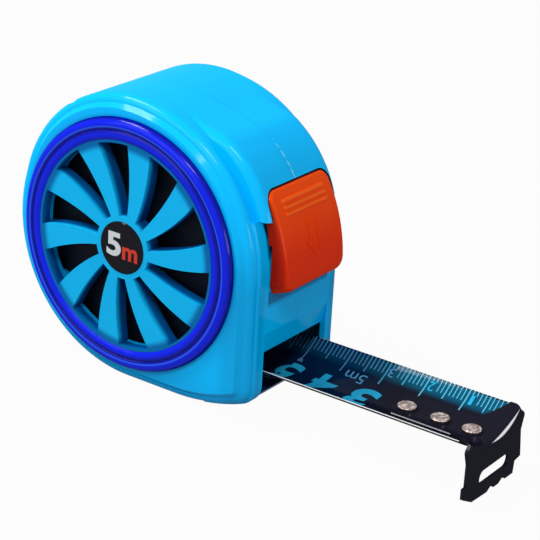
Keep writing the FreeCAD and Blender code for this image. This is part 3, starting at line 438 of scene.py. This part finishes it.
def hook_enamel():
    """Black enamel on pressed steel, with a painted highlight along the bend drawn as bare metal;
    the tongue's left side is pale, bare steel with a painted highlight on it.

    The crest of the bend lies crest_in behind the plate's face and as far out from the tongue's
    top, whose distance from the cup's axis is sqrt(y^2 + below^2). The painted highlight narrows to
    both ends as a parabola.
    """
    black = (0.009, 0.009, 0.018)
    f = Finish("hook_enamel", black, 0.15, Coat_Weight=0.035, Coat_Roughness=0.06, **GLOSS)
    below = CUP_AXIS_Z - f.z
    reach = (f.y * f.y + below * below) ** 0.5
    # The tongue's left side: pale as bare sheared steel, and lightened further as a painted
    # highlight.
    side = (f.y < 0.05 - TONGUE_Y) * (reach < TONGUE_TOP_R + 0.25)
    bare_and_lit_tongue_side = side * (f.x < HOOK_HIGH[X] - 8.0) * (f.x > HOOK_LOW[X] + 2.4)
    painted = bare_and_lit_tongue_side.mix(black, (0.6, 0.6, 0.65))
    # Painted highlight: a pale, partly metallic crescent along the crest of the bend.
    crest_in = 0.5
    off_crest = abs(f.x - (HOOK_HIGH[X] - crest_in)) + abs(reach - (TONGUE_TOP_R + crest_in))
    highlight_middle, highlight_half, highlight_width = 4.8, 6.2, 0.55
    along = (f.y - highlight_middle) / highlight_half
    width = (1.0 - along * along) * highlight_width
    worn = (width - off_crest).ramp(0.0, 0.25)
    f.feed("Base Color", worn.mix(painted, (0.75, 0.73, 0.74)))
    f.feed("Metallic", 0.6 * worn)
    f.feed("Roughness", 0.12 + 0.1 * f.noise(2.0) + 0.15 * worn)
    f.relief(0.012 * f.noise(0.5))
    return f.material


def blade_enamel():
    """Black enamel over spring steel, with the centimetre scale printed along one edge."""
    black = (0.006, 0.006, 0.014)
    f = Finish("blade_enamel", black, 0.2, Coat_Weight=0.05, Coat_Roughness=0.08, **GLOSS)
    reading = ZERO_X - f.x
    # Towards the case the band and the marks darken, partly the print's own tone and partly painted
    # shade from the case's mouth; the enamel there turns navy.
    towards_case = reading.ramp(22.0, 40.0)
    marks = scale_marks(f, reading)
    band = f.y.ramp(6.6, 8.6) * (f.y < 10.9)
    enamel = towards_case.mix(black, (0.001, 0.014, 0.05))
    ground = (band * (0.9 - 0.55 * towards_case)).mix(enamel, (0.0, 0.085, 0.16))
    pale = towards_case.mix((0.08, 0.42, 0.6), (0.07, 0.2, 0.42))
    upper = f.z > BLADE_LOW[Z] + 0.12
    printed = (marks * upper).mix(ground, pale)
    # The sheared edges: pale as bare steel, and partly a painted highlight.
    bare = (abs(f.y)).ramp(*BARE_EDGE_Y) * (f.x > BARE_EDGE_X)
    f.feed("Base Color", bare.mix(printed, (0.62, 0.66, 0.68)))
    f.feed("Roughness", 0.2 + 0.1 * f.noise(3.0) + 0.1 * bare)
    f.relief(0.01 * marks + 0.006 * f.noise(1.2))
    return f.material


def scale_marks(f, reading):
    """1 on the marks: a line at each millimetre, longer at 5 and 10, and a point at 5 cm.

    A line is there where the reading is within half its width of a multiple of its step. The
    millimetre lines stop short beside the small numerals. The point is a wedge that narrows
    as it runs in from the edge.
    """

    def strokes(every, width, near_end):
        off = abs((reading / every + 0.5).fraction() - 0.5) * every
        return (off < 0.5 * width) * (f.y > near_end)

    beside_numeral = between((reading / CM + 0.5).fraction(), 0.27, 0.49) * (reading < 3.4 * CM)
    millimetres = strokes(1.0, 0.26, 8.6) * (1 - beside_numeral * (f.y < 10.25))
    halves = strokes(0.5 * CM, 0.3, 7.5)
    centimetres = strokes(CM, 0.34, 5.75)
    lines = millimetres.at_least(halves).at_least(centimetres)
    wedge = (5.9 - f.y) / 1.5
    point = (abs(reading - 5 * CM) < wedge) * (f.y > 4.4)
    return lines.at_least(point) * (reading > 0.7)


def ink(name, base):
    """A layer of printing ink."""
    f = Finish(name, base, 0.35, Coat_Weight=0.03, **GLOSS)
    f.feed("Base Color", f.noise(0.5).mix(tuple(0.86 * v for v in base), base))
    f.feed("Roughness", 0.3 + 0.12 * f.noise(1.0))
    f.relief(0.004 * f.noise(0.3))
    return f.material


def dress(nodes, material):
    """Give CAD nodes a material."""
    for node in nodes:
        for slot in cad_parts[node].material_slots:
            slot.material = material


def dress_all():
    """Every CAD node and its finish."""
    dress(["case_left", "case_right"], case_plastic())
    dress(["wheel_cover_left"], cover_plastic())
    dress(["cover_right"], plain_cover_plastic())
    dress(["ring_trim_left", "ring_trim_right"], ring_plastic())
    dress(["hub_badge"], badge_film())
    dress(["inner_plate"],
          moulded("plate_plastic", (0.0015, 0.003, 0.008), (0.004, 0.008, 0.018), 0.5, 0.02))
    dress(["drum", "drum_cap", "lock_slider", "brake_lever"],
          moulded("dark_plastic", (0.012, 0.014, 0.018), (0.02, 0.022, 0.028), 0.45, 0.02))
    dress(["mouth_bumper"],
          moulded("bumper_plastic", (0.0, 0.024, 0.11), (0.0, 0.032, 0.14), 0.45, 0.03))
    dress(["lock_button"], button_plastic())
    dress(["blade", "blade_inner_run", "wound_blade"], blade_enamel())
    dress(["hook"], hook_enamel())
    dress(["hook_rivets"], rivet_metal())
    dress(["belt_clip"], coated_steel())
    dress(["belt_clip_screw", "case_screws"], steel("bright_steel", (0.62, 0.62, 0.64), 0.22, X))
    dress(["spindle", "brake_pin"], steel("ground_steel", (0.6, 0.6, 0.62), 0.2, Y))
    dress(["mainspring"], steel("spring_steel", (0.34, 0.37, 0.45), 0.25, Y))
    dress(["brake_pad_left", "brake_pad_right"],
          moulded("pad_rubber", (0.012, 0.012, 0.012), (0.02, 0.02, 0.02), 0.7, 0.05))


# ---------------------------------------------------------------- print
def outlines(text, width, height, weight):
    """Flat letters as a mesh in millimetres, centred, width by height, thickened by weight."""
    curve = bpy.data.curves.new("letters", "FONT")
    curve.body = text
    curve.offset = weight
    curve.resolution_u = 8
    source = bpy.data.objects.new("letters", curve)
    scene.collection.objects.link(source)
    depsgraph = bpy.context.evaluated_depsgraph_get()
    mesh = bpy.data.meshes.new_from_object(source.evaluated_get(depsgraph))
    bpy.data.objects.remove(source)
    bpy.data.curves.remove(curve)
    points = vertices(mesh)
    low, high = points.min(axis=0), points.max(axis=0)
    middle = 0.5 * (low + high)
    size = np.maximum(high - low, 1e-6)
    points = (points - middle) * np.array([width / size[0], height / size[1], 0.0])
    place(mesh, points)
    return mesh


def vertices(mesh):
    """The mesh's points as an array."""
    points = np.empty(3 * len(mesh.vertices))
    mesh.vertices.foreach_get("co", points)
    return points.reshape(-1, 3)


def place(mesh, points):
    """Put an array of points back into the mesh."""
    mesh.vertices.foreach_set("co", points.ravel())
    mesh.update()


def cut_mesh(mesh, at, normal, drop=False):
    """Cut the mesh along a plane, and drop what lies on the normal's side if asked."""
    work = bmesh.new()
    work.from_mesh(mesh)
    everything = work.verts[:] + work.edges[:] + work.faces[:]
    bmesh.ops.bisect_plane(work, geom=everything, dist=1e-5, plane_co=at, plane_no=normal,
                           clear_outer=drop)
    work.to_mesh(mesh)
    work.free()


def piece(name, mesh, material, body):
    """A finished piece that rides on a body."""
    mesh.name = name
    mesh.materials.clear()
    mesh.materials.append(material)
    made = bpy.data.objects.new(name, mesh)
    scene.collection.objects.link(made)
    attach(made, body)


def on_cup(name, text, centre, size, weight, material, body="blade", low=BLADE_LOW, span=None):
    """Lettering on the blade, upright for someone who has the hook on their left.

    A point at y lies at z = axis - sqrt(r^2 - y^2), where r is the cup's inner radius less the
    ink, so the flat letters are cut into narrow strips first. low is the low corner of the
    piece of blade under them, and span keeps only what lies between two values of x.
    """
    mesh = outlines(text, size[0], size[1], weight)
    turned = vertices(mesh) * np.array([-1.0, -1.0, 1.0])
    place(mesh, turned + np.array([centre[0], centre[1], 0.0]))
    if span:
        cut_mesh(mesh, (span[1], 0, 0), (1, 0, 0), drop=True)
        cut_mesh(mesh, (span[0], 0, 0), (-1, 0, 0), drop=True)
    for y in np.arange(*PRINT_Y, STRIP_W):
        cut_mesh(mesh, (0, y, 0), (0, 1, 0))
    points = vertices(mesh)
    r = CUP_R - FILM
    points[:, Z] = low[Z] + BLADE_T + CUP_R - np.sqrt(r * r - points[:, Y] ** 2)
    place(mesh, points * MM)
    piece(name, mesh, material, body)


def printed_scale():
    """The numerals on the blade; the 5 lies over the joint of the two pieces of blade."""
    cyan = ink("cyan_ink", (0.02, 0.43, 0.72))
    pale = ink("pale_ink", (0.09, 0.33, 0.6))
    large, weight, row = (6.0, 9.2), 0.03, -1.1
    for digit in (3, 4):
        on_cup("numeral_%d" % digit, str(digit), (ZERO_X - CM * digit, row), large, weight, cyan)
    joint = BLADE_LOW[X]
    at_5 = (ZERO_X - 5 * CM, row)
    on_cup("numeral_5", "5", at_5, large, weight, cyan, span=(joint, HOOK_HIGH[X]))
    on_cup("numeral_5_inside", "5", at_5, large, weight, cyan, body="case", low=RUN_LOW,
           span=(RUN_LOW[X], joint))
    for digit, width, tint in ((1, 0.8, cyan), (2, 1.5, cyan), (3, 1.5, pale)):
        beside_mark = (ZERO_X - CM * digit + 1.3, 9.2)
        on_cup("small_%d" % digit, str(digit), beside_mark, (width, 2.0), 0.0, tint)
    on_cup("length_mark", "5m", (46.4, 5.3), (5.2, 2.8), 0.0, pale)


def badge_letter(text, centre, size, weight, material):
    """A letter on the hub, centred across and up from the wheel axis, facing left."""
    mesh = outlines(text, size[0], size[1], weight)
    points = vertices(mesh)
    front = np.full(len(points), BADGE_LOW[Y] - FILM)
    upright = [points[:, X] + centre[0], front, points[:, Y] + AXIS_Z + centre[1]]
    place(mesh, np.stack(upright, axis=1) * MM)
    piece("badge_" + text, mesh, material, "case")


def badge_text():
    """The length on the hub: a pale numeral and a small red letter."""
    white = ink("white_ink", (0.62, 0.66, 0.68))
    red = ink("red_ink", (0.62, 0.05, 0.03))
    badge_letter("5", (-2.1, 0.45), (4.0, 5.6), 0.035, white)
    badge_letter("m", (2.4, -1.0), (4.2, 3.0), 0.03, red)


# ---------------------------------------------------------------- studio
MIDDLE = Vector((0.015, 0.0, 0.03))        # what the lamps face, in metres


def aim(thing, position, target):
    """Stand a lamp at a position, facing a target."""
    thing.location = position
    thing.rotation_euler = (Vector(target) - Vector(position)).to_track_quat("-Z", "Y").to_euler()


def lamp(name, towards, distance, size, level):
    """A soft box in metres; level is how bright it alone shows a white surface that faces it."""
    data = bpy.data.lights.new(name, "AREA")
    data.shape = "RECTANGLE"
    data.size, data.size_y = size
    data.energy = level * math.pi ** 2 * distance ** 2
    made = bpy.data.objects.new(name, data)
    scene.collection.objects.link(made)
    aim(made, MIDDLE + Vector(towards).normalized() * distance, MIDDLE)


def studio():
    """Soft boxes all round, an even fill and a white surround."""
    lamp("key", (-0.51, -0.3, 0.806), 1.3, (0.5, 0.34), 0.77)
    lamp("side", (-0.35, -0.82, 0.45), 1.6, (1.4, 0.9), 0.33)
    lamp("front_top", (0.3, -0.5, 0.8), 1.3, (0.28, 0.28), 0.36)
    lamp("front", (0.97, -0.2, 0.1), 1.6, (0.7, 0.5), 0.28)
    world = bpy.data.worlds.new("surround")
    scene.world = world
    world.use_nodes = True
    tree = world.node_tree
    start = Value(tree, None)
    fill = start.node("ShaderNodeBackground", {"Color": (0.95, 0.98, 1.0, 1.0), "Strength": 0.18})
    white = start.node("ShaderNodeBackground", {"Color": (1.0, 1.0, 1.0, 1.0), "Strength": 1.0})
    both = start.node("ShaderNodeMixShader", {0: seen_directly(tree), 1: fill, 2: white})
    tree.links.new(both.socket, tree.nodes["World Output"].inputs["Surface"])


def seen_directly(tree):
    """1 for what the camera sees, straight or in a mirror, and 0 for what lights the object."""
    path = Value(tree, None).node("ShaderNodeLightPath", {}, output="Is Camera Ray")
    glossy = Value(tree, path.socket.node.outputs["Is Glossy Ray"])
    return path.at_least(glossy)


def floor():
    """The pale floor: the tape rests on the hook's foot and on its round back.

    The floor runs through the foot and touches the circle of the back, so it slopes by the
    angle up to the circle's centre less the angle that the radius covers from the foot.
    """
    foot_x, foot_z = HOOK_HIGH[X], HOOK_LOW[Z]
    ahead, above = foot_x + BACK_SHIFT, BACK_R - foot_z
    tilt = math.atan2(above, ahead) - math.asin(BACK_R / math.hypot(ahead, above))
    half = 3.0                     # metres
    corners = [(-half, -half, 0), (half, -half, 0), (half, half, 0), (-half, half, 0)]
    mesh = bpy.data.meshes.new("floor")
    mesh.from_pydata(corners, [], [(0, 1, 2, 3)])
    made = bpy.data.objects.new("floor", mesh)
    scene.collection.objects.link(made)
    made.rotation_euler = (0, tilt, 0)
    made.location = (foot_x * MM, 0, foot_z * MM)
    f = Finish("floor", (0.25, 0.25, 0.25), 0.7, Specular_IOR_Level=0.1)
    tree = f.material.node_tree
    matte = Value(tree, f.shader.outputs["BSDF"])
    white = matte.node("ShaderNodeEmission", {"Color": (1.0, 1.0, 1.0, 1.0), "Strength": 1.0})
    both = matte.node("ShaderNodeMixShader", {0: 0.965 * seen_directly(tree), 1: matte, 2: white})
    tree.links.new(both.socket, tree.nodes["Material Output"].inputs["Surface"])
    mesh.materials.append(f.material)


def camera():
    """A long lens at the front left, a little above, with a small roll."""
    azimuth, elevation, roll = (math.radians(turn) for turn in (34.44, 22.59, 3.24))
    on_axis, distance = Vector((-28.92, 80.0, -11.81)), 529.09
    level = math.cos(elevation)
    back = Vector((math.sin(azimuth) * level, -math.cos(azimuth) * level, math.sin(elevation)))
    across = Vector((0, 0, 1)).cross(back).normalized()
    up = back.cross(across)
    right = across * math.cos(roll) + up * math.sin(roll)
    above = up * math.cos(roll) - across * math.sin(roll)
    data = bpy.data.cameras.new("camera")
    data.angle = math.radians(15.81)
    data.clip_start, data.clip_end = 0.01, 10.0
    eye = bpy.data.objects.new("camera", data)
    scene.collection.objects.link(eye)
    stand = Matrix((right, above, back)).transposed().to_4x4()
    stand.translation = (on_axis + back * distance) * MM
    eye.matrix_world = stand
    scene.camera = eye


# ---------------------------------------------------------------- make it
dress_all()
printed_scale()
badge_text()
studio()
floor()
camera()
scene.view_settings.view_transform = "Standard"
